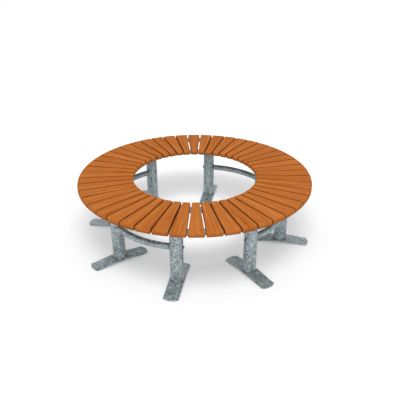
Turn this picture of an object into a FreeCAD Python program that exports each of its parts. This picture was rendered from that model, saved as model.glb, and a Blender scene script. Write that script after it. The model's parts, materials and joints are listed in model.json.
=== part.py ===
import FreeCAD, Part
import math
import os

from FreeCAD import Vector

# A round tree bench: four equal quadrants of tapered hardwood slats, screwed from
# below to two flat steel rings, which lie on eight round steel legs with flat bar feet.
# Millimetres. +Z is up and z = 0 is the ground. The origin is the middle of the tree
# opening. Azimuth 0 is the front (-Y), and azimuth grows towards +X.

# The seat
seat_height = 450.0
seat_outer_radius = 760.0
seat_inner_radius = 404.0
quadrant_count = 4
slats_per_quadrant = 12
slats_outside_leg = 3
slat_thickness = 34.0
slat_gap = 10.0
slat_end_top_rounding = 13.0
slat_end_bottom_rounding = 8.0
slat_side_rounding = 5.0
first_seam_azimuth = -78.75

# The two flat rings under the slats, let in flush with the undersides of the slats
ring_bar_width = 60.0
ring_bar_thickness = 10.0
ring_setback = 23.0
ring_end_gap = 2.0
rebate_clearance = 0.5

# The legs, each a tube between a foot and a bearer plate. A quadrant stands on two,
# each under the gap between the slats outside the legs and those between them, a
# little outside the middle of the seat's width.
leg_outset = 2.5
leg_tube_diameter = 80.0
leg_tube_wall = 4.0
vent_hole_diameter = 14.0

# The feet, flat bars cranked so that their middles clear the ground
foot_length = 380.0
foot_width = 92.0
foot_thickness = 8.0
foot_middle_lift = 12.0
foot_middle_flat = 100.0
foot_pad_length = 32.0
foot_end_radius = 80.0
foot_corner_rounding = 6.0

# The bearer plates, which join each leg to both rings
bearer_thickness = 8.0
bearer_end_width = 36.0
bearer_end_margin = 16.0
bearer_tube_margin = 5.0
bearer_ring_margin = 4.0
bearer_corner_rounding = 5.0

# The curved tie tubes, one between the two legs of each quadrant. They are bent a
# little more than the circle that the legs stand on.
tie_tube_diameter = 40.0
tie_tube_wall = 3.0
tie_bend_radius = 500.0
tie_height = 246.0
tie_end_clearance = 0.3
tie_plug_length = 26.0
tie_plug_clearance = 0.15

# The joint plates, which lie across the seams under both rings
joint_plate_width = 40.0
joint_plate_thickness = 8.0
joint_plate_end_margin = 12.0
joint_bolt_screw_distance = 16.0

# The fasteners
thread_clearance = 0.1
slat_screw_diameter = 6.0
slat_screw_cover = 8.0
slat_screw_head_diameter = 11.0
slat_screw_head_height = 3.5
slat_screw_hole_clearance = 0.5
slat_screw_head_clearance = 1.0
slat_screw_tip_clearance = 0.5
outer_screw_offset = 18.0
ring_bolt_diameter = 10.0
ring_bolt_head_width = 17.0
ring_bolt_head_height = 6.4
ring_washer_diameter = 20.0
ring_washer_thickness = 2.0
joint_bolt_diameter = 8.0
joint_bolt_head_width = 13.0
joint_bolt_head_height = 5.3
tie_bolt_diameter = 10.0
tie_bolt_head_width = 17.5
tie_bolt_head_height = 5.5
tie_bolt_socket_width = 6.0
tie_bolt_socket_depth = 3.0
tie_bolt_tip_setback = 4.0
tie_washer_diameter = 20.0
tie_washer_thickness = 2.0
bolt_hole_clearance = 0.5
bolt_chamfer_angle = 30.0
hexagon_sides = 6
cut_overshoot = 1.0
level_tolerance = 0.01

# Sizes that follow from the driving ones
full_turn = 360.0
upright = Vector(0, 0, 1)
centre = Vector(0, 0, 0)
quadrant_angle = full_turn / quadrant_count
slat_angle = quadrant_angle / slats_per_quadrant
leg_half_spread = quadrant_angle / 2 - slats_outside_leg * slat_angle
slat_bottom = seat_height - slat_thickness
rebate_top = slat_bottom + ring_bar_thickness
slat_screw_top = seat_height - slat_screw_cover
inner_ring_middle = seat_inner_radius + ring_setback + ring_bar_width / 2
outer_ring_middle = seat_outer_radius - ring_setback - ring_bar_width / 2
bearer_bottom = slat_bottom - bearer_thickness
foot_top = foot_middle_lift + foot_thickness
leg_circle_radius = (seat_inner_radius + seat_outer_radius) / 2 + leg_outset
leg_radius = leg_tube_diameter / 2
tie_radius = tie_tube_diameter / 2
tie_half_span = leg_circle_radius * math.sin(math.radians(leg_half_spread))
tie_half_angle = math.degrees(math.asin(tie_half_span / tie_bend_radius))
tie_bend_centre = (leg_circle_radius * math.cos(math.radians(leg_half_spread))
                   - tie_bend_radius * math.cos(math.radians(tie_half_angle)))
tie_plug_angle = math.degrees((leg_radius + tie_plug_length) / tie_bend_radius)
tie_bolt_lean = tie_plug_angle / 2 + leg_half_spread - tie_half_angle


def place(shape, azimuth):
    """Turn a shape drawn along +X to its azimuth about the middle of the bench."""
    turned = shape.copy()
    turned.rotate(centre, upright, azimuth - full_turn / 4)
    return turned


def seam_azimuth(quadrant):
    """The azimuth of the seam where a quadrant starts."""
    return first_seam_azimuth + quadrant * quadrant_angle


def slat_azimuth(quadrant, slat):
    """The azimuth of a slat's middle line."""
    return seam_azimuth(quadrant) + (slat + 1 / 2) * slat_angle


def leg_azimuth(quadrant, side):
    """The azimuth of the leg on one side, -1 or 1, of a quadrant's middle."""
    return seam_azimuth(quadrant) + quadrant_angle / 2 + side * leg_half_spread


def post(x, y, bottom, top, diameter):
    """An upright round bar or hole at a place in the part's own plan."""
    return Part.makeCylinder(diameter / 2, top - bottom, Vector(x, y, bottom))


def plan_prism(points, bottom, top):
    """A prism with the given corners in plan, between two heights."""
    corners = [Vector(x, y, bottom) for x, y in points]
    outline = Part.makePolygon(corners + corners[:1])
    return Part.Face(outline).extrude(Vector(0, 0, top - bottom))


def upright_edges(shape):
    """The edges of a prism that stand upright."""
    return [edge for edge in shape.Edges if edge.BoundBox.ZLength > edge.Length / 2]


def level_edges(shape, height):
    """The edges that lie at one height."""
    found = []
    for edge in shape.Edges:
        box = edge.BoundBox
        if abs(box.ZMin - height) < level_tolerance and box.ZLength < level_tolerance:
            found.append(edge)
    return found


def end_edges(board, height):
    """The edges across both ends of a board along +X, at one height."""
    return [edge for edge in level_edges(board, height)
            if edge.BoundBox.XLength < level_tolerance]


def side_edges(board):
    """The edges of the two long sides of a board along +X, which face along Y."""
    sides = [face for face in board.Faces if abs(face.normalAt(0, 0).y) > 1 / 2]
    return [edge for face in sides for edge in face.Edges]


def hexagon_prism(width, bottom, top):
    """An upright hexagonal prism about the z axis, with its width across the flats."""
    corner_radius = width / 2 / math.cos(math.pi / hexagon_sides)
    corners = []
    for corner in range(hexagon_sides):
        turn = math.radians(corner * full_turn / hexagon_sides)
        corners.append((corner_radius * math.cos(turn), corner_radius * math.sin(turn)))
    return plan_prism(corners, bottom, top)


def hex_bolt(diameter, length, head_width, head_height):
    """A hexagon head below z = 0 and a plain shank from z = 0 to its length."""
    head = hexagon_prism(head_width, -head_height, 0)
    flat_radius = head_width / 2
    cone_spread = head_height / math.tan(math.radians(bolt_chamfer_angle))
    cone = Part.makeCone(flat_radius, flat_radius + cone_spread, head_height,
                         Vector(0, 0, -head_height))
    shank = Part.makeCylinder(diameter / 2, length)
    return head.common(cone).fuse(shank).removeSplitter()


def button_bolt(diameter, length, head_width, head_height):
    """A low domed head below z = 0, with a hexagon socket, and a plain shank above it."""
    dome_radius = ((head_width / 2) ** 2 + head_height ** 2) / (2 * head_height)
    dome = Part.makeSphere(dome_radius, Vector(0, 0, dome_radius - head_height))
    head = dome.common(Part.makeCylinder(head_width, head_height, Vector(0, 0, -head_height)))
    socket = hexagon_prism(tie_bolt_socket_width, -head_height,
                           tie_bolt_socket_depth - head_height)
    shank = Part.makeCylinder(diameter / 2, length)
    return head.fuse(shank).removeSplitter().cut(socket)


def washer(outer_diameter, hole_diameter, thickness):
    """A flat washer lying on z = 0."""
    disc = Part.makeCylinder(outer_diameter / 2, thickness)
    return disc.cut(Part.makeCylinder(hole_diameter / 2, thickness))


def flat_ring(middle_radius, width, bottom, top, angle=full_turn):
    """A flat ring, or a sector of one that starts on +X."""
    place_at = Vector(0, 0, bottom)
    outer = Part.makeCylinder(middle_radius + width / 2, top - bottom, place_at, upright, angle)
    return outer.cut(Part.makeCylinder(middle_radius - width / 2, top - bottom, place_at))


def slat_screw_places():
    """Where one slat's screws are, on a slat that lies along +X."""
    return [
        (inner_ring_middle, 0),
        (outer_ring_middle, outer_screw_offset),
        (outer_ring_middle, -outer_screw_offset),
    ]


def seam_screw_offset(ring_middle):
    """How far the nearest slat screw under a ring lies from the seam beside it."""
    half_angle = math.radians(slat_angle / 2)
    return min(x * math.sin(half_angle) + y * math.cos(half_angle)
               for x, y in slat_screw_places() if x == ring_middle)


def joint_bolt_places(ring_middle):
    """Where one joint plate's bolts are, on both sides of each screw beside a seam on +X."""
    screw_offset = seam_screw_offset(ring_middle)
    offsets = [screw_offset - joint_bolt_screw_distance,
               screw_offset + joint_bolt_screw_distance]
    return [(ring_middle, side * offset) for offset in offsets for side in (-1, 1)]


def slat_screw_holes(diameter, bottom, top):
    """Upright holes at the screws of one slat that lies along +X."""
    holes = [post(x, y, bottom, top, diameter) for x, y in slat_screw_places()]
    return Part.makeCompound(holes)


def make_slat():
    """One tapered board along +X, with rounded edges, two rebates and its pilot holes."""
    half_angle = math.radians(slat_angle / 2)
    edge_shift = slat_gap / 2 / math.cos(half_angle)
    inner_half = seat_inner_radius * math.tan(half_angle) - edge_shift
    outer_half = seat_outer_radius * math.tan(half_angle) - edge_shift
    board = plan_prism([
        (seat_inner_radius, -inner_half),
        (seat_outer_radius, -outer_half),
        (seat_outer_radius, outer_half),
        (seat_inner_radius, inner_half),
    ], slat_bottom, seat_height)
    board = board.makeFillet(slat_end_top_rounding, end_edges(board, seat_height))
    board = board.makeFillet(slat_end_bottom_rounding, end_edges(board, slat_bottom))
    board = board.makeFillet(slat_side_rounding, side_edges(board))
    for ring_middle in (inner_ring_middle, outer_ring_middle):
        rebate_width = ring_bar_width + 2 * rebate_clearance
        board = board.cut(flat_ring(ring_middle, rebate_width,
                                    slat_bottom - cut_overshoot, rebate_top))
    pilot_top = slat_screw_top + slat_screw_tip_clearance
    pilot_diameter = slat_screw_diameter + 2 * thread_clearance
    return board.cut(slat_screw_holes(pilot_diameter, slat_bottom, pilot_top))


def make_slat_screws():
    """The screws of one slat, with their round heads under the rings."""
    screws = []
    for x, y in slat_screw_places():
        shank = post(x, y, slat_bottom, slat_screw_top, slat_screw_diameter)
        head = post(x, y, slat_bottom - slat_screw_head_height, slat_bottom,
                    slat_screw_head_diameter)
        screws.append(shank.fuse(head).removeSplitter())
    return Part.makeCompound(screws)


def make_ring_segment(quadrant, ring_middle):
    """A quarter of a flat ring, drilled for its screws and tapped for its bolts."""
    end_angle = math.degrees(ring_end_gap / 2 / ring_middle)
    segment = flat_ring(ring_middle, ring_bar_width, slat_bottom, rebate_top,
                        quadrant_angle - 2 * end_angle)
    segment = place(segment, seam_azimuth(quadrant) + end_angle)
    screw_hole = slat_screw_diameter + 2 * slat_screw_hole_clearance
    for slat in range(slats_per_quadrant):
        holes = slat_screw_holes(screw_hole, slat_bottom, rebate_top)
        segment = segment.cut(place(holes, slat_azimuth(quadrant, slat)))
    for side in (-1, 1):
        tapped = post(ring_middle, 0, slat_bottom, rebate_top,
                      ring_bolt_diameter + 2 * thread_clearance)
        segment = segment.cut(place(tapped, leg_azimuth(quadrant, side)))
    for seam in (quadrant, quadrant + 1):
        for x, y in joint_bolt_places(ring_middle):
            tapped = post(x, y, slat_bottom, rebate_top,
                          joint_bolt_diameter + 2 * thread_clearance)
            segment = segment.cut(place(tapped, seam_azimuth(seam)))
    return segment


def make_joint_plate(ring_middle):
    """A plate across the seam that lies along +X, clear of the nearest screw heads."""
    places = joint_bolt_places(ring_middle)
    half_length = max(y for x, y in places) + joint_plate_end_margin
    plate_bottom = slat_bottom - joint_plate_thickness
    plate = Part.makeBox(joint_plate_width, 2 * half_length, joint_plate_thickness,
                         Vector(ring_middle - joint_plate_width / 2, -half_length, plate_bottom))
    for x, y in places:
        plate = plate.cut(post(x, y, plate_bottom, slat_bottom,
                               joint_bolt_diameter + 2 * bolt_hole_clearance))
    head_hole = slat_screw_head_diameter + 2 * slat_screw_head_clearance
    for side in (-1, 1):
        holes = slat_screw_holes(head_hole, plate_bottom, slat_bottom)
        holes.rotate(centre, upright, side * slat_angle / 2)
        plate = plate.cut(holes)
    return plate


def make_joint_bolts(ring_middle):
    """The bolts of one joint plate, from below into the tapped ring ends."""
    length = joint_plate_thickness + ring_bar_thickness
    bolts = []
    for x, y in joint_bolt_places(ring_middle):
        bolt = hex_bolt(joint_bolt_diameter, length, joint_bolt_head_width,
                        joint_bolt_head_height)
        bolt.translate(Vector(x, y, slat_bottom - joint_plate_thickness))
        bolts.append(bolt)
    return Part.makeCompound(bolts)


def make_bearer():
    """The plate on top of a leg: wide over the tube, narrow under the rings."""
    inner_end = inner_ring_middle - bearer_end_margin
    outer_end = outer_ring_middle + bearer_end_margin
    ring_reach = ring_bar_width / 2 + bearer_ring_margin
    tube_reach = leg_radius + bearer_tube_margin
    end_half = bearer_end_width / 2
    one_side = [
        (inner_end, end_half),
        (inner_ring_middle + ring_reach, end_half),
        (leg_circle_radius - tube_reach, tube_reach),
        (leg_circle_radius + tube_reach, tube_reach),
        (outer_ring_middle - ring_reach, end_half),
        (outer_end, end_half),
    ]
    other_side = [(x, -y) for x, y in reversed(one_side)]
    plate = plan_prism(one_side + other_side, bearer_bottom, slat_bottom)
    plate = plate.makeFillet(bearer_corner_rounding, upright_edges(plate))
    bolt_hole = ring_bolt_diameter + 2 * bolt_hole_clearance
    for ring_middle in (inner_ring_middle, outer_ring_middle):
        plate = plate.cut(post(ring_middle, 0, bearer_bottom, slat_bottom, bolt_hole))
    return plate.cut(post(leg_circle_radius, 0, bearer_bottom, slat_bottom,
                          vent_hole_diameter))


def make_ring_bolt(ring_middle):
    """A bolt from below a bearer, into the tapped ring above it."""
    length = ring_washer_thickness + bearer_thickness + ring_bar_thickness
    bolt = hex_bolt(ring_bolt_diameter, length, ring_bolt_head_width, ring_bolt_head_height)
    bolt.translate(Vector(ring_middle, 0, bearer_bottom - ring_washer_thickness))
    return bolt


def make_ring_washer(ring_middle):
    """The washer between a bearer and the head of its bolt."""
    hole = ring_bolt_diameter + 2 * bolt_hole_clearance
    ring_washer = washer(ring_washer_diameter, hole, ring_washer_thickness)
    ring_washer.translate(Vector(ring_middle, 0, bearer_bottom - ring_washer_thickness))
    return ring_washer


def make_foot():
    """A flat bar along +X under a leg, cranked down to a flat pad at each rounded end."""
    half_length = foot_length / 2
    half_width = foot_width / 2
    one_side = [
        (half_length, 0),
        (half_length - foot_pad_length, 0),
        (foot_middle_flat / 2, foot_middle_lift),
    ]
    underside = one_side + [(-x, z) for x, z in reversed(one_side)]
    topside = [(x, z + foot_thickness) for x, z in reversed(underside)]
    corners = [Vector(leg_circle_radius + x, -half_width, z) for x, z in underside + topside]
    profile = Part.Face(Part.makePolygon(corners + corners[:1]))
    bar = profile.extrude(Vector(0, foot_width, 0))
    return bar.common(make_foot_outline()).cut(
        post(leg_circle_radius, 0, 0, foot_top, vent_hole_diameter))


def make_foot_outline():
    """The foot's shape in plan, with arched ends and softened corners, as a prism."""
    half_length = foot_length / 2
    half_width = foot_width / 2
    bulge = foot_end_radius - math.sqrt(foot_end_radius ** 2 - half_width ** 2)
    edges = []
    for side in (1, -1):
        start = Vector(leg_circle_radius + side * (half_length - bulge), -side * half_width, 0)
        tip = Vector(leg_circle_radius + side * half_length, 0, 0)
        end = Vector(start.x, side * half_width, 0)
        next_start = Vector(leg_circle_radius - side * (half_length - bulge), end.y, 0)
        edges.append(Part.Arc(start, tip, end).toShape())
        edges.append(Part.makeLine(end, next_start))
    outline = Part.Face(Part.Wire(edges)).extrude(Vector(0, 0, foot_top))
    return outline.makeFillet(foot_corner_rounding, upright_edges(outline))


def tie_bolt_line(side):
    """The point where a tie bolt crosses its leg on +X, and its way to one side."""
    lean = math.radians(tie_bolt_lean)
    way = Vector(-math.sin(lean), side * math.cos(lean), 0)
    return Vector(leg_circle_radius, 0, tie_height), way


def along_tie_bolt(shape, side, distance):
    """Move a shape drawn along +Z onto a leg's tie bolt, a distance from the tube's axis."""
    start, way = tie_bolt_line(side)
    moved = shape.copy()
    turn = FreeCAD.Rotation(upright, way)
    moved.Placement = FreeCAD.Placement(start + way * distance, turn)
    return moved


def make_leg_tube(side):
    """A round tube along +X, drilled right through for the bolt of its tie tube."""
    tube = post(leg_circle_radius, 0, foot_top, bearer_bottom, leg_tube_diameter)
    bore = leg_tube_diameter - 2 * leg_tube_wall
    tube = tube.cut(post(leg_circle_radius, 0, foot_top, bearer_bottom, bore))
    reach = leg_radius + cut_overshoot
    drill = Part.makeCylinder(tie_bolt_diameter / 2 + bolt_hole_clearance, 2 * reach)
    return tube.cut(along_tie_bolt(drill, side, -reach))


def bent_bar(radius, start_angle, end_angle):
    """A round bar along the bend of the tie tube whose middle is on +X, between two angles."""
    bend_centre = Vector(tie_bend_centre, 0, 0)
    place_at = Vector(tie_bend_centre + tie_bend_radius, 0, tie_height)
    section = Part.Face(Part.Wire(Part.makeCircle(radius, place_at, Vector(0, 1, 0))))
    section.rotate(bend_centre, upright, start_angle)
    return section.revolve(bend_centre, upright, end_angle - start_angle)


def leg_clearance(turn):
    """The space that a leg tube takes where a tie tube meets it."""
    space = post(leg_circle_radius, 0, 0, slat_bottom,
                 leg_tube_diameter + 2 * tie_end_clearance)
    space.rotate(centre, upright, turn)
    return space


def make_tie_tube():
    """A bent tube whose middle is on +X, coped at both ends to fit the round legs."""
    tube = bent_bar(tie_radius, -tie_half_angle, tie_half_angle)
    tube = tube.cut(bent_bar(tie_radius - tie_tube_wall, -tie_half_angle, tie_half_angle))
    for turn in (-leg_half_spread, leg_half_spread):
        tube = tube.cut(leg_clearance(turn))
    return max(tube.Solids, key=lambda solid: solid.Volume)


def make_tie_plug(side):
    """The tapped plug in one end of a tie tube, beside a leg that stands on +X."""
    plug_radius = tie_radius - tie_tube_wall - tie_plug_clearance
    start, end = sorted([-side * tie_half_angle, side * (tie_plug_angle - tie_half_angle)])
    plug = bent_bar(plug_radius, start, end)
    plug.rotate(centre, upright, side * leg_half_spread)
    plug = plug.cut(leg_clearance(0))
    drill = Part.makeCylinder(tie_bolt_diameter / 2 + thread_clearance,
                              leg_tube_diameter + tie_plug_length)
    return plug.cut(along_tie_bolt(drill, side, 0))


def make_tie_bolt(side):
    """The bolt through a leg on +X into the plug of its tie tube."""
    head_seat = leg_radius + tie_washer_thickness
    length = head_seat + leg_radius + tie_plug_length - tie_bolt_tip_setback
    bolt = button_bolt(tie_bolt_diameter, length, tie_bolt_head_width,
                       tie_bolt_head_height)
    return along_tie_bolt(bolt, side, -head_seat)


def make_tie_washer(side):
    """The washer between a leg on +X and the head of its tie bolt."""
    hole = tie_bolt_diameter + 2 * bolt_hole_clearance
    flat = washer(tie_washer_diameter, hole, tie_washer_thickness)
    return along_tie_bolt(flat, side, -leg_radius - tie_washer_thickness)


def save(name, shapes):
    """Write one named piece, or one named group of like pieces, to its own file."""
    solids = [solid for shape in shapes for solid in shape.Solids]
    for solid in solids:
        if not solid.isValid() or not solid.isClosed():
            raise ValueError(name + " is not a sound solid")
    whole = solids[0] if len(solids) == 1 else Part.makeCompound(solids)
    whole.exportStep("parts/" + name + ".step")
    box = whole.BoundBox
    print(f"{name}: {len(solids)} solids, z {box.ZMin:.1f} to {box.ZMax:.1f} mm")


def every_slat():
    slats = range(slats_per_quadrant)
    return [(quadrant, slat) for quadrant in range(quadrant_count) for slat in slats]


def slat_groups():
    """A quadrant's slats to the left of, between and to the right of its legs, from outside."""
    slats = range(slats_per_quadrant)
    first_between = slats_outside_leg
    first_right = slats_per_quadrant - slats_outside_leg
    return {
        "left": slats[:first_between],
        "middle": slats[first_between:first_right],
        "right": slats[first_right:],
    }


def every_leg():
    return [(quadrant, side) for quadrant in range(quadrant_count) for side in (-1, 1)]


def build_seat():
    """Slats in named groups, and all their screws."""
    slat = make_slat()
    for quadrant in range(quadrant_count):
        for group, members in slat_groups().items():
            boards = [place(slat, slat_azimuth(quadrant, member)) for member in members]
            save(f"seat_slats_q{quadrant + 1}_{group}", boards)
    screws = make_slat_screws()
    save("slat_screws", [place(screws, slat_azimuth(*slat)) for slat in every_slat()])


def build_rings():
    """Ring segments, joint plates and joint bolts."""
    seams = [seam_azimuth(quadrant) for quadrant in range(quadrant_count)]
    for name, ring_middle in (("inner", inner_ring_middle), ("outer", outer_ring_middle)):
        for quadrant in range(quadrant_count):
            save(f"{name}_ring_q{quadrant + 1}", [make_ring_segment(quadrant, ring_middle)])
        plate = make_joint_plate(ring_middle)
        save(f"{name}_joint_plates", [place(plate, azimuth) for azimuth in seams])
    bolts = Part.makeCompound([make_joint_bolts(inner_ring_middle),
                               make_joint_bolts(outer_ring_middle)])
    save("joint_bolts", [place(bolts, azimuth) for azimuth in seams])


def build_legs():
    """Leg tubes, feet and bearers, and the bolts that hold the rings on them."""
    tubes = {side: make_leg_tube(side) for side in (-1, 1)}
    foot = make_foot()
    bearer = make_bearer()
    bolts = Part.makeCompound([make_ring_bolt(inner_ring_middle),
                               make_ring_bolt(outer_ring_middle)])
    washers = Part.makeCompound([make_ring_washer(inner_ring_middle),
                                 make_ring_washer(outer_ring_middle)])
    for number, (quadrant, side) in enumerate(every_leg(), start=1):
        azimuth = leg_azimuth(quadrant, side)
        save(f"leg_tube_{number}", [place(tubes[-side], azimuth)])
        save(f"foot_{number}", [place(foot, azimuth)])
        save(f"bearer_{number}", [place(bearer, azimuth)])
    save("ring_bolts", [place(bolts, leg_azimuth(*leg)) for leg in every_leg()])
    save("ring_washers", [place(washers, leg_azimuth(*leg)) for leg in every_leg()])


def build_ties():
    """Tie tubes with their plugs, bolts and washers."""
    tie = make_tie_tube()
    for quadrant in range(quadrant_count):
        middle = seam_azimuth(quadrant) + quadrant_angle / 2
        save(f"tie_tube_q{quadrant + 1}", [place(tie, middle)])
    for name, make in (("tie_plugs", make_tie_plug), ("tie_bolts", make_tie_bolt),
                       ("tie_washers", make_tie_washer)):
        pieces = {side: make(side) for side in (-1, 1)}
        save(name, [place(pieces[-side], leg_azimuth(quadrant, side))
                    for quadrant, side in every_leg()])


os.makedirs("parts", exist_ok=True)
build_seat()
build_rings()
build_legs()
build_ties()
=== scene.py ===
# %% [markdown]
# # A round tree bench of hardwood slats on galvanised legs
#
# The real bench is 1.52 m across and 450 mm high. Forty-eight tapered boards lie side by
# side in a ring, screwed from below to two flat steel rings. Eight round legs carry the
# rings, and the two legs of each quarter are braced by a curved tube. The middle is open,
# so that the bench can stand round a tree.
#
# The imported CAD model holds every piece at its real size. This file gives the surfaces
# their finish, and replaces the pieces whose edges and bends show from nearby, because a
# CAD solid has crisp edges where a planed board or a bent bar is soft.

import json
import math

import bmesh
import bpy
import numpy as np
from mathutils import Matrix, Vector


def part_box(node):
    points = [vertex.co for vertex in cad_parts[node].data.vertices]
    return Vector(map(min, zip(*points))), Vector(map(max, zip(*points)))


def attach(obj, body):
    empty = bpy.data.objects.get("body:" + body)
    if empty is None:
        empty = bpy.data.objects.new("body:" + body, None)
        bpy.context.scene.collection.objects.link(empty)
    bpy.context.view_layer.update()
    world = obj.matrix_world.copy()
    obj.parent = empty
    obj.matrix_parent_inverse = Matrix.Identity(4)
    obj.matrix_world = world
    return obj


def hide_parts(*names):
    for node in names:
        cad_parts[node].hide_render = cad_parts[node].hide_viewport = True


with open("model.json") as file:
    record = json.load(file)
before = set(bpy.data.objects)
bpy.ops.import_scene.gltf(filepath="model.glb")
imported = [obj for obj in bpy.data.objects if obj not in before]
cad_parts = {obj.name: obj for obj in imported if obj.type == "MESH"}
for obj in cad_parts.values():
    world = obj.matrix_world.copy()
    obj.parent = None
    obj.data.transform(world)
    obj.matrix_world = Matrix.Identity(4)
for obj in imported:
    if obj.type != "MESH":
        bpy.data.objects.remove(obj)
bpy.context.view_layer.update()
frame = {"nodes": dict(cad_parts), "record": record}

# %% [markdown]
# ## Sizes
#
# Everything is in metres, and z = 0 is the ground. An azimuth is an angle round the
# bench: 0 is the front, and it grows towards +X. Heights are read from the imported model,
# and the other sizes repeat the drawing of the bench.

# %% Sizes of the bench
MM = 0.001
seat_outer_radius = 760 * MM
seat_inner_radius = 404 * MM
quadrant_count = 4
slats_per_quadrant = 12
slats_outside_leg = 3
slat_gap = 10 * MM
slat_end_rounding = 13 * MM
slat_end_bottom_rounding = 8 * MM
slat_corner_rounding = 5 * MM
slat_top_rounding = 4 * MM
slat_bottom_rounding = 3 * MM
first_seam_azimuth = math.radians(-78.75)
quadrant_angle = 2 * math.pi / quadrant_count
slat_angle = quadrant_angle / slats_per_quadrant
leg_circle_radius = 584.5 * MM
leg_radius = 40 * MM
legs_per_quadrant = 2
leg_count = quadrant_count * legs_per_quadrant
first_leg_azimuth = first_seam_azimuth + slats_outside_leg * slat_angle
leg_azimuths = first_leg_azimuth + 2 * math.pi / leg_count * np.arange(leg_count)

seat_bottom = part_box("seat_slats_q1_middle")[0].z
seat_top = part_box("seat_slats_q1_middle")[1].z
rebate_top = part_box("inner_ring_q1")[1].z
foot_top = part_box("foot_1")[1].z
bearer_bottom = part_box("bearer_1")[0].z
leg_middle = (foot_top + bearer_bottom) / 2
leg_half_height = (bearer_bottom - foot_top) / 2
print("seat from", round(seat_bottom, 4), "to", round(seat_top, 4), "m")

# %% [markdown]
# ## Helpers for materials
#
# Colours are written as they look on a screen, as sRGB hex values, and shaders work with
# linear light, so one function turns the first into the second. Nodes could be added one
# line at a time, but a function that adds a node, sets it up and links it in one call
# keeps a node tree readable as text.

# %% Helpers for materials
def linear(hex_colour):
    """An sRGB colour such as #c87533 as the linear RGBA that shaders take."""
    srgb = np.array([int(hex_colour[start:start + 2], 16) for start in (1, 3, 5)]) / 255
    bright = ((srgb + 0.055) / 1.055) ** 2.4
    return (*np.where(srgb > 0.04045, bright, srgb / 12.92), 1.0)


def add(tree, kind, inputs=None, stops=(), **settings):
    """Adds a node. Each input is given a value, or the output of another node.

    The stops of a colour ramp are (position, colour) pairs, lowest first.
    """
    node = tree.nodes.new("ShaderNode" + kind)
    for name, value in settings.items():
        setattr(node, name, value)
    for key, value in (inputs or {}).items():
        if isinstance(value, bpy.types.NodeSocket):
            tree.links.new(value, node.inputs[key])
        else:
            node.inputs[key].default_value = value
    for position, _ in stops[1:-1]:
        node.color_ramp.elements.new(position)
    for number, (position, colour) in enumerate(stops):
        node.color_ramp.elements[number].position = position
        node.color_ramp.elements[number].color = linear(colour)
    return node


def new_material(name):
    """An empty material with its node tree, its shader and its output linked up."""
    material = bpy.data.materials.new(name)
    material.use_nodes = True
    tree = material.node_tree
    tree.nodes.clear()
    shader = add(tree, "BsdfPrincipled")
    add(tree, "OutputMaterial", {"Surface": shader.outputs["BSDF"]})
    return material, tree, shader


print("middle grey in linear light:", round(linear("#808080")[0], 3))

# %% [markdown]
# ## Oiled hardwood
#
# The boards are planed hardwood with an oil that turns it orange-brown. Wood is a solid
# pattern: a log has growth rings round its pith, and a board shows them as streaks on its
# face and as arcs on its end. So the colour is worked out at the place that each point of
# a board had in its log, which the boards' mesh brings along as an attribute. Every board
# comes from another part of a log, and no two look alike. A second attribute paints shade
# into the colour: darker on the sides that face the gaps, darker still underneath, and
# darker towards the bottoms of the ends.

# %% Oiled hardwood
ring_spacing = 15 * MM     # real ones are 2 to 5 mm apart, too fine to show from 3 m away
streak_size = (450 * MM, 24 * MM)   # length and width of broad lighter and darker bands
band_size = (110 * MM, 9 * MM)      # narrow bands within them
fibre_size = (40 * MM, 2.5 * MM)    # bundles of fibres, as single ones are too fine to show
pore_size = (9 * MM, 0.7 * MM)
pore_darkness = 0.45
# how far the painted shade on the sides, the underside and the lower ends darkens the wood
side_shade_darkness = 0.4
wave_radians_per_unit = 20          # fixed in the Wave texture


def stretched_noise(tree, place, size, detail, distortion=0.0):
    """Noise in streaks along X, of about the given length and width."""
    length, width = size
    scale = add(tree, "Mapping", {"Vector": place, "Scale": (1 / length, 1 / width, 1 / width)})
    noise = add(tree, "TexNoise", {
        "Vector": scale.outputs["Vector"], "Scale": 1.0, "Detail": detail,
        "Roughness": 0.55, "Distortion": distortion})
    return noise.outputs["Fac"]


def weighted_sum(tree, parts):
    """The sum of (output, weight) pairs."""
    total = 0.0
    for output, weight in parts:
        total = add(tree, "Math", {0: output, 1: weight, 2: total},
                    operation="MULTIPLY_ADD").outputs["Value"]
    return total


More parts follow.
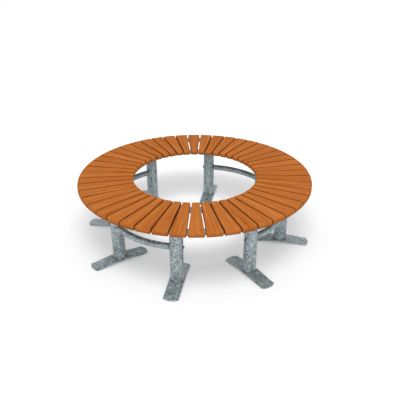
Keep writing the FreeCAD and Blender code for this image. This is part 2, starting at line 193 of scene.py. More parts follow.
def make_hardwood():
    """Oiled hardwood: streaks along the board, fine fibres and short dark pores."""
    material, tree, shader = new_material("oiled_hardwood")
    place = add(tree, "Attribute", attribute_name="log_place").outputs["Vector"]
    tone = add(tree, "Attribute", attribute_name="board_tone").outputs["Fac"]
    side_shade = add(tree, "Attribute", attribute_name="painted_side_shade").outputs["Fac"]
    rings = add(tree, "TexWave", {
        "Vector": place, "Scale": 2 * math.pi / wave_radians_per_unit / ring_spacing,
        "Distortion": 1.5, "Detail": 2.0, "Detail Scale": 0.6},
        wave_type="RINGS", rings_direction="X")
    streaks = stretched_noise(tree, place, streak_size, detail=3.0, distortion=0.2)
    bands = stretched_noise(tree, place, band_size, detail=2.0, distortion=0.3)
    fibres = stretched_noise(tree, place, fibre_size, detail=2.0)
    pores = stretched_noise(tree, place, pore_size, detail=1.0)
    grain = weighted_sum(tree, [
        (rings.outputs["Fac"], 0.22), (streaks, 0.8), (bands, 0.6), (fibres, 0.5), (tone, 0.14)])
    level = add(tree, "MapRange", {"Value": grain, "From Min": 0.72, "From Max": 1.54})
    colour = add(tree, "ValToRGB", {"Fac": level.outputs["Result"]}, stops=[
        (0.0, "#9f5320"), (0.35, "#b9692e"), (0.65, "#c57434"), (1.0, "#d78b49")])
    # Noise seldom falls below 0.34, so only its lowest spots become pores.
    pore_mask = add(tree, "MapRange", {"Value": pores, "From Min": 0.34, "From Max": 0.24,
                                       "To Max": pore_darkness}).outputs["Result"]
    pored = add(tree, "Mix", {"Factor": pore_mask, "A": colour.outputs["Color"],
                              "B": linear("#6e3a17")}, data_type="RGBA").outputs["Result"]
    # Painted shade: the second attribute darkens the sides in the gaps, the underside and the
    # lower ends towards a dark brown.
    darker = add(tree, "Math", {0: side_shade, 1: side_shade_darkness},
                 operation="MULTIPLY").outputs["Value"]
    side_shaded = add(tree, "Mix", {"Factor": darker, "A": pored, "B": linear("#4a210c")},
                  data_type="RGBA").outputs["Result"]
    tree.links.new(side_shaded, shader.inputs["Base Color"])
    # Planing cuts across fibres and opens pores, and oil soaks in without a film. So the
    # face is matt, and fine ridges break up the light along the grain.
    gloss = add(tree, "MapRange", {"Value": fibres, "To Min": 0.6, "To Max": 0.78})
    tree.links.new(gloss.outputs["Result"], shader.inputs["Roughness"])
    shader.inputs["IOR"].default_value = 1.45
    shader.inputs["Specular IOR Level"].default_value = 0.03
    relief = weighted_sum(tree, [(fibres, 0.6), (pores, 0.4)])
    bump = add(tree, "Bump", {"Height": relief, "Strength": 0.35, "Distance": 0.4 * MM})
    tree.links.new(bump.outputs["Normal"], shader.inputs["Normal"])
    return material


hardwood = make_hardwood()
print("material:", hardwood.name, "with", len(hardwood.node_tree.nodes), "nodes")

# %% [markdown]
# ## Galvanised steel
#
# The steel was dipped in molten zinc after welding. The zinc froze in flat crystals, the
# spangle, which are about a centimetre wide and each reflect light a little differently,
# so that the steel looks mottled. Cells of a Voronoi pattern give the crystals, and noise
# bends and clouds them, as weather does. It could be one noise, but that has no edges.
# A painted shade lies in the corners round the legs, as a thin dark line where they meet
# the feet, the tie tubes and the bearer plates, so a second pattern is worked out from the
# distance to the nearest leg and from the height.

# %% Galvanised steel
spangle_size = 9 * MM
speckle_size = 5 * MM
cloud_size = 60 * MM
spangle_bend = 1.2      # how far crystal edges wander, as a share of their size
# The corners round the legs are darkened by a painted shade, a thin dark line.
corner_shade_reach = 10 * MM
corner_shade_darkness = 0.6
leg_skin = 0.2 * MM     # what lies within it still counts as the tube's own surface


def distance_from_leg(tree, place):
    """How far a point is from the axis of the nearest leg, seen from above."""
    plan = add(tree, "VectorMath", {0: place, 1: (1, 1, 0)}, operation="MULTIPLY")
    nearest = seat_outer_radius    # no point of the steel is further from a leg
    for azimuth in leg_azimuths:
        axis = (leg_circle_radius * math.sin(azimuth), -leg_circle_radius * math.cos(azimuth), 0)
        away = add(tree, "VectorMath", {0: plan.outputs["Vector"], 1: axis}, operation="DISTANCE")
        nearest = add(tree, "Math", {0: away.outputs["Value"], 1: nearest},
                      operation="MINIMUM").outputs["Value"]
    return nearest


def painted_corner_shade(tree, place):
    """Painted shade: 1 in the corners between a leg and what it meets, fading to 0 within a
    reach.

    Outside a leg's surface it fades with the distance from that surface. On the tube
    itself it fades with the distance from the tube's nearer end.
    """
    away = distance_from_leg(tree, place)
    outside = add(tree, "Math", {0: away, 1: leg_radius + leg_skin},
                  operation="GREATER_THAN").outputs["Value"]
    near_leg = add(tree, "MapRange", {
        "Value": away, "From Min": leg_radius, "From Max": leg_radius + corner_shade_reach,
        "To Min": 1.0, "To Max": 0.0}, interpolation_type="SMOOTHSTEP").outputs["Result"]
    height = add(tree, "SeparateXYZ", {"Vector": place}).outputs["Z"]
    offset = add(tree, "Math", {0: height, 1: leg_middle}, operation="SUBTRACT").outputs["Value"]
    from_middle = add(tree, "Math", {0: offset}, operation="ABSOLUTE").outputs["Value"]
    near_end = add(tree, "MapRange", {
        "Value": from_middle, "From Min": leg_half_height - corner_shade_reach,
        "From Max": leg_half_height}, interpolation_type="SMOOTHSTEP").outputs["Result"]
    return add(tree, "Mix", {"Factor": outside, "A": near_end, "B": near_leg}).outputs["Result"]


def make_galvanised():
    """Hot-dip galvanised steel: zinc crystals of several sizes under a dull bloom."""
    material, tree, shader = new_material("galvanised_steel")
    place = add(tree, "TexCoord").outputs["Object"]
    drift = add(tree, "TexNoise", {"Vector": place, "Scale": 1 / spangle_size, "Detail": 3.0})
    centred = add(tree, "VectorMath", {0: drift.outputs["Color"], 1: (0.5, 0.5, 0.5)},
                  operation="SUBTRACT")
    shift = add(tree, "VectorMath", {
        0: centred.outputs["Vector"], "Scale": spangle_bend * spangle_size}, operation="SCALE")
    bent = add(tree, "VectorMath", {0: place, 1: shift.outputs["Vector"]}).outputs["Vector"]
    crystals = add(tree, "TexVoronoi", {
        "Vector": bent, "Scale": 1 / spangle_size, "Smoothness": 0.35}, feature="SMOOTH_F1")
    crystal = add(tree, "SeparateColor", {"Color": crystals.outputs["Color"]}).outputs["Red"]
    specks = add(tree, "TexVoronoi", {"Vector": bent, "Scale": 1 / speckle_size})
    speck = add(tree, "SeparateColor", {"Color": specks.outputs["Color"]}).outputs["Green"]
    clouds = add(tree, "TexNoise", {"Vector": place, "Scale": 1 / cloud_size, "Detail": 4.0})
    level = weighted_sum(tree, [
        (crystal, 0.65), (speck, 0.25), (clouds.outputs["Fac"], 0.3)])
    spread = add(tree, "MapRange", {"Value": level, "From Min": 0.2, "From Max": 1.0})
    colour = add(tree, "ValToRGB", {"Fac": spread.outputs["Result"]}, stops=[
        (0.0, "#68757a"), (0.4, "#929da0"), (0.7, "#abb6b9"), (1.0, "#cfd8db")])
    # Painted shade darkens the steel in the corners round the legs.
    corner_shade = add(tree, "Math", {0: painted_corner_shade(tree, place), 1: corner_shade_darkness},
               operation="MULTIPLY").outputs["Value"]
    corner_shaded = add(tree, "Mix", {"Factor": corner_shade, "A": colour.outputs["Color"],
                              "B": linear("#3a4142")}, data_type="RGBA").outputs["Result"]
    tree.links.new(corner_shaded, shader.inputs["Base Color"])
    shader.inputs["Metallic"].default_value = 0.6
    # Each crystal froze with its own fine facets, so it has its own roughness, and the
    # zinc's skin is a little uneven. Highlights are broad and broken.
    gloss = add(tree, "MapRange", {"Value": crystal, "To Min": 0.38, "To Max": 0.6})
    tree.links.new(gloss.outputs["Result"], shader.inputs["Roughness"])
    relief = weighted_sum(tree, [(crystal, 0.5), (drift.outputs["Fac"], 0.5)])
    bump = add(tree, "Bump", {"Height": relief, "Strength": 0.3, "Distance": 0.5 * MM})
    tree.links.new(bump.outputs["Normal"], shader.inputs["Normal"])
    return material


galvanised = make_galvanised()
print("material:", galvanised.name, "with", len(galvanised.node_tree.nodes), "nodes")

# %% [markdown]
# ## Zinc-plated fasteners
#
# Bolts, screws and washers are plated thinly and have gone dull and dark. The pattern is
# finer than on dipped steel: small stains rather than crystals.

# %% Zinc-plated fasteners
stain_size = 4 * MM


def make_zinc_plate():
    """Dull zinc plating with small stains."""
    material, tree, shader = new_material("zinc_plated_steel")
    place = add(tree, "TexCoord").outputs["Object"]
    stains = add(tree, "TexNoise", {"Vector": place, "Scale": 1 / stain_size, "Detail": 4.0})
    colour = add(tree, "ValToRGB", {"Fac": stains.outputs["Fac"]}, stops=[
        (0.3, "#4f5759"), (0.7, "#7d8688")])
    tree.links.new(colour.outputs["Color"], shader.inputs["Base Color"])
    shader.inputs["Metallic"].default_value = 0.8
    # Plated zinc has no crystals that the eye can see, and stained spots are duller.
    gloss = add(tree, "MapRange", {"Value": stains.outputs["Fac"], "To Min": 0.3, "To Max": 0.6})
    tree.links.new(gloss.outputs["Result"], shader.inputs["Roughness"])
    bump = add(tree, "Bump", {"Height": stains.outputs["Fac"], "Strength": 0.2,
                              "Distance": 0.2 * MM})
    tree.links.new(bump.outputs["Normal"], shader.inputs["Normal"])
    return material


zinc_plate = make_zinc_plate()
print("material:", zinc_plate.name, "with", len(zinc_plate.node_tree.nodes), "nodes")

# %% [markdown]
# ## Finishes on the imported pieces
#
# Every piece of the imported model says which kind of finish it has. A material could be
# put on each piece by hand, but a table from kind to material serves them all.

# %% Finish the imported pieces
finishes = {
    "oiled_hardwood": hardwood,
    "galvanised_steel": galvanised,
    "zinc_fasteners": zinc_plate,
}
for part in frame["record"]["subparts"]:
    for material_slot in frame["nodes"][part["node"]].material_slots:
        material_slot.material = finishes[part["material_slot"]]

# %% [markdown]
# ## Meshes from grids
#
# Every new piece is a surface worked out as a grid of points, with rows along the piece
# and columns round it. A grid that closes on itself needs faces between its last column
# and its first, and a flat face at each end makes it a closed solid. The volume inside is
# positive when all faces look outward, so it is printed as a check.

# %% Helpers for meshes
crease_angle = math.radians(35)    # edges that bend more than this are shaded as creases


def tube_faces(rows, columns):
    """Quads of a grid whose columns run round a closed loop, numbered row by row."""
    row, column = np.meshgrid(np.arange(rows - 1), np.arange(columns), indexing="ij")
    following = (column + 1) % columns
    corners = [row * columns + column, row * columns + following,
               (row + 1) * columns + following, (row + 1) * columns + column]
    return np.stack(corners, axis=-1).reshape(-1, 4)


def volume_inside(mesh):
    """The volume in a closed mesh, as the sum of a tetrahedron on each triangle."""
    mesh.calc_loop_triangles()
    corners = np.empty(len(mesh.loop_triangles) * 3, np.int32)
    mesh.loop_triangles.foreach_get("vertices", corners)
    points = np.empty(len(mesh.vertices) * 3, np.float32)
    mesh.vertices.foreach_get("co", points)
    a, b, c = points.reshape(-1, 3)[corners.reshape(-1, 3)].transpose(1, 0, 2)
    return float(np.einsum("ij,ij->i", a, np.cross(b, c)).sum() / 6)


def make_piece(name, points, faces, material, replaced=()):
    """A named piece that rides on the bench and stands for the given CAD nodes."""
    mesh = bpy.data.meshes.new(name)
    mesh.from_pydata(points.reshape(-1, 3).tolist(), [], faces)
    mesh.polygons.foreach_set("use_smooth", [True] * len(mesh.polygons))
    mesh.set_sharp_from_angle(angle=crease_angle)
    mesh.materials.append(material)
    piece = bpy.data.objects.new(name, mesh)
    bpy.context.scene.collection.objects.link(piece)
    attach(piece, "root")
    if replaced:
        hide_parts(*replaced)
    return piece


def merge_doubles(mesh):
    """Joins points that lie on each other, which takes out faces without an area."""
    merged = bmesh.new()
    merged.from_mesh(mesh)
    bmesh.ops.remove_doubles(merged, verts=merged.verts, dist=0.001 * MM)
    merged.to_mesh(mesh)
    merged.free()
    mesh.set_sharp_from_angle(angle=crease_angle)


def turned(points, azimuth):
    """Points drawn along +X, turned about the middle of the bench to their azimuth."""
    turn = azimuth - math.pi / 2
    x, y, z = np.moveaxis(points, -1, 0)
    return np.stack([x * math.cos(turn) - y * math.sin(turn),
                     x * math.sin(turn) + y * math.cos(turn), z], axis=-1)


print("a tube of 3 rows and 4 columns has", len(tube_faces(3, 4)), "faces")

# %% [markdown]
# ## The slats
#
# A slat is a tapered board with rounded edges, more so at its ends, and two shallow
# rebates underneath, where the steel rings lie. It could be a box with a Bevel modifier,
# but then all boards would be alike. Here the board's cross-section is carried along its
# length: every section has its own width, top and bottom, and each board is a fraction of
# a millimetre shorter, lower or more hollow than the next, as sawn and planed wood is.

# %% One cross-section of a slat
top_points = 13
top_edge_points = 5
side_points = 5
bottom_edge_points = 4
bottom_points = 7


def arc(count, start, end):
    """Evenly spaced angles from start to end, which are given in degrees."""
    return np.radians(np.linspace(start, end, count))


def slat_section():
    """Weights of a section's points, counterclockwise as seen from its outer end.

    A point lies across the board at a * half width + b, and its height is
    c * top + (1 - c) * bottom + d. The flat stretches are straight lines in these
    weights, and the rounded edges are quarter circles in b and d.
    """
    r, q = slat_top_rounding, slat_bottom_rounding
    top = np.linspace(1, -1, top_points)
    edge = arc(top_edge_points, 0, 90)[1:]
    side = np.linspace(1, 0, side_points)[1:]
    low_edge = arc(bottom_edge_points, 0, 90)[1:]
    base = np.linspace(-1, 1, bottom_points)[1:]
    left = [
        (-1 + 0 * edge, r - r * np.sin(edge), 1 + 0 * edge, r * np.cos(edge) - r),
        (-1 + 0 * side, 0 * side, side, q - side * (r + q)),
        (-1 + 0 * low_edge, q - q * np.cos(low_edge), 0 * low_edge, q - q * np.sin(low_edge)),
    ]
    right = [(-a[::-1], -b[::-1], c[::-1], d[::-1]) for a, b, c, d in reversed(left)]
    flat_top = (top, -top * r, 1 + 0 * top, 0 * top)
    flat_base = (base, -base * q, 0 * base, 0 * base)
    runs = [flat_top, *left, flat_base, *right]
    section = np.concatenate([np.stack(run, axis=-1) for run in runs])
    repeated = np.all(np.isclose(section, np.roll(section, 1, axis=0)), axis=1)
    return section[~repeated]


section_weights = slat_section()
print("a slat's section has", len(section_weights), "points")


# %% Stations along a slat
ring_middles = (457 * MM, 707 * MM)
rebate_half_width = 30.5 * MM
section_spacing = 14 * MM
section_clearance = 3 * MM     # plain sections keep this far from a rebate's edge
end_sections = 8


def rounding_inset(depth, radius):
    """How far a rounded edge stands back at a depth behind its end: a quarter circle."""
    short = np.clip(radius - depth, 0, radius)
    return radius - np.sqrt(radius ** 2 - short ** 2)


def slat_stations():
    """Radii of the sections, and whether each section is cut up to the rebates' top.

    Sections crowd together at the rounded ends, and each rebate's edge has two at one
    radius: one with the full depth and one that is cut. Their tops lie on each other and
    are merged later.
    """
    end = slat_end_rounding * (1 - np.cos(arc(end_sections, 0, 90)))
    edges = [m + side * rebate_half_width for m in ring_middles for side in (-1, 1)]
    plain = np.arange(seat_inner_radius + section_spacing, seat_outer_radius - section_spacing,
                      section_spacing)
    plain = plain[np.min(np.abs(plain[:, None] - edges), axis=1) > section_clearance]
    single = np.concatenate([seat_inner_radius + end, plain, seat_outer_radius - end])
    in_rebate = np.any([abs(single - m) < rebate_half_width for m in ring_middles], axis=0)
    radii = np.concatenate([single, edges, edges])
    cut = np.concatenate([in_rebate, np.ones(len(edges), bool), np.zeros(len(edges), bool)])
    # At a rebate's inner edge the full section comes first, and at its outer edge the cut one.
    outer_edge = np.tile([0, 1], len(ring_middles))
    order_in_pair = np.concatenate([0 * single, 1 - outer_edge, outer_edge])
    order = np.lexsort([order_in_pair, radii])
    return radii[order], cut[order]


station_radii, station_cut = slat_stations()
print("a slat has", len(station_radii), "sections")


# %% The surface of one slat
most_warp = 0.4 * MM            # how far a board may bend or tilt
lowered_by = (0.1 * MM, 0.6 * MM)
most_hollow = 0.35 * MM
most_trim = 0.8 * MM            # how much shorter an end may be
squared_end = 6 * MM            # over this length the flat end turns into the circles


def slat_surface(rng):
    """Points of one board along +X: the section's weights put to work at each station.

    The half width grows with the radius, so that neighbours stay one gap apart, and is
    drawn in by a quarter circle at both ends, as the top and the bottom are. Sections are
    flat at the ends, and a few millimetres in they follow circles about the bench's
    middle, as the rings under the board do.
    """
    a, b, c, d = section_weights.T
    radius = station_radii[:, None]
    depth = np.minimum(radius - seat_inner_radius, seat_outer_radius - radius)
    half_angle = slat_angle / 2
    half_width = radius * math.tan(half_angle) - slat_gap / 2 / math.cos(half_angle)
    half_width = half_width - rounding_inset(depth, slat_corner_rounding)
    along = (radius - seat_inner_radius) / (seat_outer_radius - seat_inner_radius)
    sag, slope = rng.uniform(-most_warp, most_warp, 2)
    lowered = rng.uniform(*lowered_by)
    lift = slope * (along - 0.5) + sag * np.sin(math.pi * along)
    top = seat_top - lowered - abs(slope) / 2 - abs(sag) + lift
    top = top - rounding_inset(depth, slat_end_rounding)
    bottom = np.where(station_cut[:, None], rebate_top, seat_bottom)
    bottom = bottom + rounding_inset(depth, slat_end_bottom_rounding)
    across = a * half_width + b
    height = c * top + (1 - c) * bottom + d
    hollow = rng.uniform(0, most_hollow)
    height = height - c * hollow * (1 - (across / half_width) ** 2)
    trim = rng.uniform(0, most_trim, 2)
    shortened = radius + trim[0] * (1 - along) - trim[1] * along
    curved = np.sqrt(shortened ** 2 - across ** 2)
    bend = np.clip(depth / squared_end, 0, 1)
    outward = bend * curved + (1 - bend) * shortened
    return np.stack([outward, across, height + 0 * outward], axis=-1)


sample_slat = slat_surface(np.random.default_rng(0))
print("a slat's length, width and thickness:", np.ptp(sample_slat, axis=(0, 1)).round(4))


# %% Each board's place in its log, and its painted shade
turn_in_log = (0.2, 1.4)        # radians, so that a face is neither along the rings nor across
off_pith = (60 * MM, 160 * MM)
most_off_line = 40 * MM
log_length = 40.0               # so long that two boards seldom share a stretch of it
end_shade = 0.6


def place_in_log(points, rng):
    """Where a board's points were in their log, with the pith along X.

    The board is turned about its length and set a few centimetres off the pith, at a
    random place along the log.
    """
    x, y, z = np.moveaxis(points - (0, 0, seat_bottom), -1, 0)
    turn = rng.uniform(*turn_in_log) * rng.choice([-1, 1])
    up = rng.uniform(*off_pith)
    along = rng.uniform(0, log_length)
    aside = rng.uniform(-most_off_line, most_off_line)
    return np.stack([x + along, y * math.cos(turn) - z * math.sin(turn) + aside,
                     y * math.sin(turn) + z * math.cos(turn) + up], axis=-1)


def side_shade_weights():
    """Painted shade at each point of a slat: 0 on top, 1 on the sides and 2 underneath.

    It rises over the lower half of the rounded top edge. Over the rounded ends it fades
    to a painted shade that grows towards their bottoms.
    """
    c, d = section_weights[:, 2:].T
    down = np.select([c == 0, c < 1], [2.0, 1.0], np.clip(-2 * d / slat_top_rounding - 1, 0, 1))
    depth = np.minimum(station_radii - seat_inner_radius, seat_outer_radius - station_radii)
    inside = np.clip(depth / slat_end_rounding, 0, 1)[:, None]
    return inside * down + (1 - inside) * end_shade * (1 - c)


# The painted shade in the wood's colour runs from 0 on top to 2 underneath.
print("stains run from", side_shade_weights().min(), "to", side_shade_weights().max())


# %% All forty-eight slats
def set_attribute(mesh, name, kind, values):
    """A named value on every point of a mesh."""
    attribute = mesh.attributes.new(name, kind, "POINT")
    field = "vector" if kind == "FLOAT_VECTOR" else "value"
    attribute.data.foreach_set(field, np.asarray(values, np.float32).ravel())


def slat_group(slat):
    """The CAD node's ending for a slat: left of, between or right of a quadrant's legs."""
    if slat < slats_outside_leg:
        return "left"
    return "right" if slat >= slats_per_quadrant - slats_outside_leg else "middle"


def make_slats():
    """One piece for each board, numbered round the bench from the first seam."""
    rows, columns = len(station_radii), len(section_weights)
    ends = [list(range(columns))[::-1], list(range((rows - 1) * columns, rows * columns))]
    faces = tube_faces(rows, columns).tolist() + ends
    side_shade = side_shade_weights()
    slats = []
    for number in range(quadrant_count * slats_per_quadrant):
        rng = np.random.default_rng(number + 1)
        quadrant, slat = divmod(number, slats_per_quadrant)
        points = slat_surface(rng)
        azimuth = first_seam_azimuth + (number + 0.5) * slat_angle
        piece = make_piece(f"slat_{number + 1:02d}", turned(points, azimuth), faces, hardwood,
                           [f"seat_slats_q{quadrant + 1}_{slat_group(slat)}"])
        set_attribute(piece.data, "log_place", "FLOAT_VECTOR", place_in_log(points, rng))
        set_attribute(piece.data, "board_tone", "FLOAT",
                      np.full(points[..., 0].size, rng.uniform()))
        # Painted shade on the sides in the gaps, the underside and the lower ends.
        set_attribute(piece.data, "painted_side_shade", "FLOAT", side_shade)
        merge_doubles(piece.data)
        slats.append(piece)
    return slats


slats = make_slats()
print("slats:", len(slats), "first one's volume:",
      round(volume_inside(slats[0].data) * 1e6), "cm3")

# %% [markdown]
# ## The feet
#
# A foot is a flat bar that was cut with arched ends and pressed into a shallow bow, so
# that it stands on its two ends. The CAD solid is folded sharply, and a pressed bar bends
# in soft curves and has rounded arrises. A Bevel modifier would round bends and arrises
# alike, so the bar is worked out again here: its outline is drawn once in plan, pulled in
# a little at the top and bottom edges, and then bowed.

# %% The outline of a foot
foot_length = 380 * MM
foot_width = 92 * MM
foot_end_radius = 80 * MM
foot_corner_rounding = 6 * MM
foot_end_points = 9
foot_corner_points = 6
foot_side_points = 41


def foot_rail(inset):
    """One side of the foot's outline in plan, from its inner tip to its outer tip.

    An arc about a point on the foot's middle line makes the end, a smaller arc that
    touches it and the straight side makes the corner, and pulling the outline in
    shortens both radii.
    """
    centre_x = foot_length / 2 - foot_end_radius
    corner_y = foot_width / 2 - foot_corner_rounding
    corner_x = centre_x + math.sqrt((foot_end_radius - foot_corner_rounding) ** 2
                                    - corner_y ** 2)
    meet = math.degrees(math.atan2(corner_y, corner_x - centre_x))
    end = arc(foot_end_points, 0, meet)
    corner = arc(foot_corner_points, meet, 90)[1:]
    end_r = foot_end_radius - inset
    corner_r = foot_corner_rounding - inset
    x = np.concatenate([centre_x + end_r * np.cos(end), corner_x + corner_r * np.cos(corner)])
    y = np.concatenate([end_r * np.sin(end), corner_y + corner_r * np.sin(corner)])
    side_x = np.linspace(-x[-1], x[-1], foot_side_points)[1:-1]
    side_y = np.full(len(side_x), y[-1])
    return np.concatenate([-x, side_x, x[::-1]]), np.concatenate([y, side_y, y[::-1]])


print("one side of a foot's outline has", len(foot_rail(0)[0]), "points")

# %% The surface of a foot
foot_thickness = 8 * MM
foot_lift = 12 * MM
foot_middle_flat = 100 * MM
foot_pad_length = 32 * MM
foot_bend_reach = 14 * MM
foot_bend_samples = 15
foot_arris = 1.6 * MM
foot_arris_points = 5


def foot_bow(x):
    """How high the foot's underside is: straight runs, averaged over a short reach."""
    corners = [foot_middle_flat / 2, foot_length / 2 - foot_pad_length]
    shifts = np.linspace(-foot_bend_reach, foot_bend_reach, foot_bend_samples)
    runs = [np.interp(abs(x) + shift, corners, [foot_lift, 0]) for shift in shifts]
    return np.mean(runs, axis=0)


def foot_surface():
    """Loops of points round the foot at the origin, from its top down to its underside.

    The arrises are quarter circles, so a loop near the top or the bottom is drawn in.
    """
    arris = arc(foot_arris_points, 0, 90)
    insets = foot_arris * (1 - np.sin(arris))
    drops = foot_arris * (1 - np.cos(arris))
    loops = []
    for inset, height in [*zip(insets, foot_thickness - drops), *zip(insets[::-1], drops[::-1])]:
        x, y = foot_rail(inset)
        loop_x = np.concatenate([x, x[-2:0:-1]])
        loop_y = np.concatenate([y, -y[-2:0:-1]])
        loops.append(np.stack([loop_x, loop_y, height + foot_bow(loop_x)], axis=-1))
    return np.array(loops)


print("a foot's length, width and height:", np.ptp(foot_surface(), axis=(0, 1)).round(4))


# %% All eight feet
def ladder_faces(columns, first):
    """Faces that close a loop by rungs from each point to its mirror image across it."""
    half = columns // 2
    near = np.arange(1, half - 1)
    far = columns - near
    quads = np.stack([near, near + 1, far - 1, far], axis=-1) + first
    tips = [[first, first + 1, first + columns - 1],
            [first + half, first + half + 1, first + half - 1]]
    return quads.tolist() + tips


def make_feet():
    """Eight feet, each under its leg and pointing at the middle of the bench."""
    loops = foot_surface()
    rows, columns = loops.shape[:2]
    top = [face[::-1] for face in ladder_faces(columns, 0)]
    underside = ladder_faces(columns, (rows - 1) * columns)
    faces = tube_faces(rows, columns).tolist() + top + underside
    feet = []
    for number, azimuth in enumerate(leg_azimuths, start=1):
        points = turned(loops + (leg_circle_radius, 0, 0), azimuth)
        feet.append(make_piece(f"bowed_foot_{number}", points, faces, galvanised,
                               [f"foot_{number}"]))
    return feet


feet = make_feet()
print("feet:", len(feet), "first one's volume:",
      round(volume_inside(feet[0].data) * 1e6), "cm3")

# %% [markdown]
# ## Weld beads
#
# Each leg tube is welded to its foot below and to its bearer plate above. A weld shows as
# a thin raised ring with small ripples, one for each drop of metal. It could be a torus
# with a bumpy material, but the mesh is the shape that counts. So it is a ring whose
# thickness rises and falls round the tube, half sunk into both pieces.

# %% Weld beads round the legs
bead_radius = 2.6 * MM
ripple_pitch = 5 * MM
ripple_height = 0.09       # as a share of the bead's radius
swelling = 0.05            # likewise, for the broad swells where the welder slowed down
swell_count = 3
points_per_ripple = 4
bead_section_points = 10


def make_bead(name, azimuth, height):
    """A ring round a leg's end: a circle of circles, whose radius is a sum of waves."""
    ripples = round(2 * math.pi * leg_radius / ripple_pitch)
    around = np.linspace(0, 2 * math.pi, points_per_ripple * ripples, endpoint=False)[:, None]
    section = np.linspace(0, 2 * math.pi, bead_section_points, endpoint=False)
    waves = ripple_height * np.cos(ripples * around) + swelling * np.sin(swell_count * around)
    thickness = bead_radius * (1 + waves)
    reach = leg_radius + thickness * np.cos(section)
    points = np.stack([leg_circle_radius + reach * np.cos(around), reach * np.sin(around),
                       height + thickness * np.sin(section)], axis=-1)
    rows, columns = points.shape[:2]
    # The last row joins the first. Turned over, the faces look out of this ring.
    faces = tube_faces(rows + 1, columns)[:, ::-1] % (rows * columns)
    return make_piece(name, turned(points, azimuth), faces.tolist(), galvanised)


beads = []
for number, azimuth in enumerate(leg_azimuths, start=1):
    beads.append(make_bead(f"foot_weld_{number}", azimuth, foot_top))
    beads.append(make_bead(f"bearer_weld_{number}", azimuth, bearer_bottom))
print("weld beads:", len(beads), "first one's volume:",
      round(volume_inside(beads[0].data) * 1e6, 1), "cm3")

# %% [markdown]
# ## Floor, light and camera
#
# The bench stands on a white floor in even light, as in a studio with white walls: a
# bright sky lights it from all round, and one wide lamp high up in front draws the seat's
# soft shadow on the floor, a little behind it. The floor and the sky look white to the
# camera and in reflections through the Light Path node, so no lamp has to be turned up
# for a white background. The floor's glow grows with the distance, which lets the shadow
# fade out into white, and a painted pool of light, a stronger glow, brightens the patch
# that the lamp reaches through the opening. The camera's place, tilt and lens are those
# at which the circles of the bench look as they do in its photograph.

# %% The floor
floor_reach = 12.0
floor_paint = (0.8, 0.8, 0.8, 1)            # what lights the bench from below
floor_in_view = (0.88, 0.885, 0.89, 1)      # what the camera sees, with the glow on top
white = "#ffffff"
near_glow = 0.235
near_distance, far_distance = 1.0, 3.0
# A painted pool of light: the floor glows more in a patch under the opening.
patch_place = (0, 0.2, 0)
painted_light_glow = 0.2
patch_radius, patch_edge_radius = 0.2, 0.48


def seen_directly(tree):
    """1 for rays from the camera, from glossy and from clear surfaces, and 0 for others."""
    path = add(tree, "LightPath").outputs
    glossy = add(tree, "Math", {0: path["Is Camera Ray"], 1: path["Is Glossy Ray"]},
                 operation="MAXIMUM")
    return add(tree, "Math", {0: glossy.outputs["Value"], 1: path["Is Transmission Ray"]},
               operation="MAXIMUM").outputs["Value"]


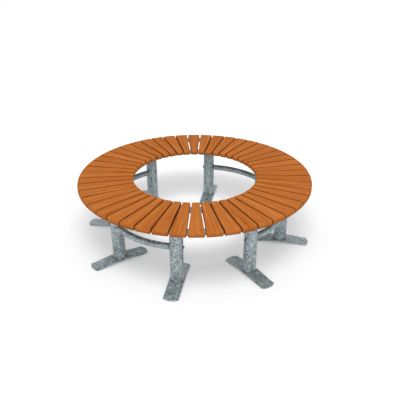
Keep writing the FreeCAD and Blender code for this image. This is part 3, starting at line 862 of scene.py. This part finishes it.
def make_floor():
    """A white floor that keeps the bench's shadow, glows a little for the camera
    and glows more in a painted pool of light under the opening.
    """
    corners = [(-1, -1, 0), (1, -1, 0), (1, 1, 0), (-1, 1, 0)]
    mesh = bpy.data.meshes.new("floor")
    mesh.from_pydata((np.array(corners) * floor_reach).tolist(), [], [(0, 1, 2, 3)])
    material = bpy.data.materials.new("white_floor")
    material.use_nodes = True
    tree = material.node_tree
    tree.nodes.clear()
    paint = add(tree, "BsdfDiffuse", {"Color": floor_paint})
    place = add(tree, "TexCoord").outputs["Object"]
    away = add(tree, "VectorMath", {0: place}, operation="LENGTH").outputs["Value"]
    outside = add(tree, "MapRange", {
        "Value": away, "From Min": near_distance, "From Max": far_distance,
        "To Min": near_glow, "To Max": 1.0}).outputs["Result"]
    # Painted light: a stronger glow in the patch under the opening.
    from_patch = add(tree, "VectorMath", {0: place, 1: patch_place},
                     operation="DISTANCE").outputs["Value"]
    painted_light_pool = add(tree, "MapRange", {
        "Value": from_patch, "From Min": patch_radius, "From Max": patch_edge_radius,
        "To Min": painted_light_glow, "To Max": 0.0}, interpolation_type="SMOOTHSTEP").outputs["Result"]
    strength = add(tree, "Math", {0: outside, 1: painted_light_pool}, operation="ADD").outputs["Value"]
    glow = add(tree, "Emission", {"Color": linear(white), "Strength": strength})
    lit = add(tree, "BsdfDiffuse", {"Color": floor_in_view})
    both = add(tree, "AddShader", {0: lit.outputs["BSDF"], 1: glow.outputs["Emission"]})
    shown = add(tree, "MixShader", {"Fac": seen_directly(tree), 1: paint.outputs["BSDF"],
                                    2: both.outputs["Shader"]})
    add(tree, "OutputMaterial", {"Surface": shown.outputs["Shader"]})
    mesh.materials.append(material)
    floor = bpy.data.objects.new("floor", mesh)
    bpy.context.scene.collection.objects.link(floor)
    return floor


floor = make_floor()
print("floor:", 2 * floor_reach, "m wide, with", len(floor.data.materials[0].node_tree.nodes),
      "nodes")


# %% The sky
sky_strength = 0.64


def make_sky():
    """Even light from all round, which looks white to the camera."""
    world = bpy.data.worlds.new("studio")
    world.use_nodes = True
    tree = world.node_tree
    tree.nodes.clear()
    light = add(tree, "Background", {"Color": linear(white), "Strength": sky_strength})
    backdrop = add(tree, "Background", {"Color": linear(white), "Strength": 1.0})
    shown = add(tree, "MixShader", {"Fac": seen_directly(tree), 1: light.outputs["Background"],
                                    2: backdrop.outputs["Background"]})
    add(tree, "OutputWorld", {"Surface": shown.outputs["Shader"]})
    bpy.context.scene.world = world


make_sky()
print("sky strength:", sky_strength)

# %% The lamp
lamp_place = (0, -3.9, 7.4)
lamp_width = 3.4
lamp_power = 266

lamp_data = bpy.data.lights.new("key_lamp", "AREA")
lamp_data.size = lamp_width
lamp_data.energy = lamp_power
lamp = bpy.data.objects.new("key_lamp", lamp_data)
lamp.location = lamp_place
to_seat = -lamp.location
to_seat.z += seat_top
lamp.rotation_mode = "QUATERNION"
lamp.rotation_quaternion = to_seat.to_track_quat("-Z", "Y")
bpy.context.scene.collection.objects.link(lamp)
print("lamp to seat:", round(to_seat.length, 2), "m, power:", lamp_power, "W")

# %% The camera
focal_length_px = 495.3
picture_width_px = 400
camera_place = (-0.0278, -2.9852, 1.7919)
camera_tilt = math.radians(27.29)
camera_turn = math.radians(1.18)

camera_data = bpy.data.cameras.new("camera")
camera_data.sensor_width = 36
camera_data.lens = focal_length_px / picture_width_px * camera_data.sensor_width
camera = bpy.data.objects.new("camera", camera_data)
camera.location = camera_place
camera.rotation_euler = (math.pi / 2 - camera_tilt, 0, -camera_turn)
bpy.context.scene.collection.objects.link(camera)
bpy.context.scene.camera = camera
bpy.context.scene.view_settings.view_transform = "Standard"
print("lens:", round(camera_data.lens, 2), "mm")
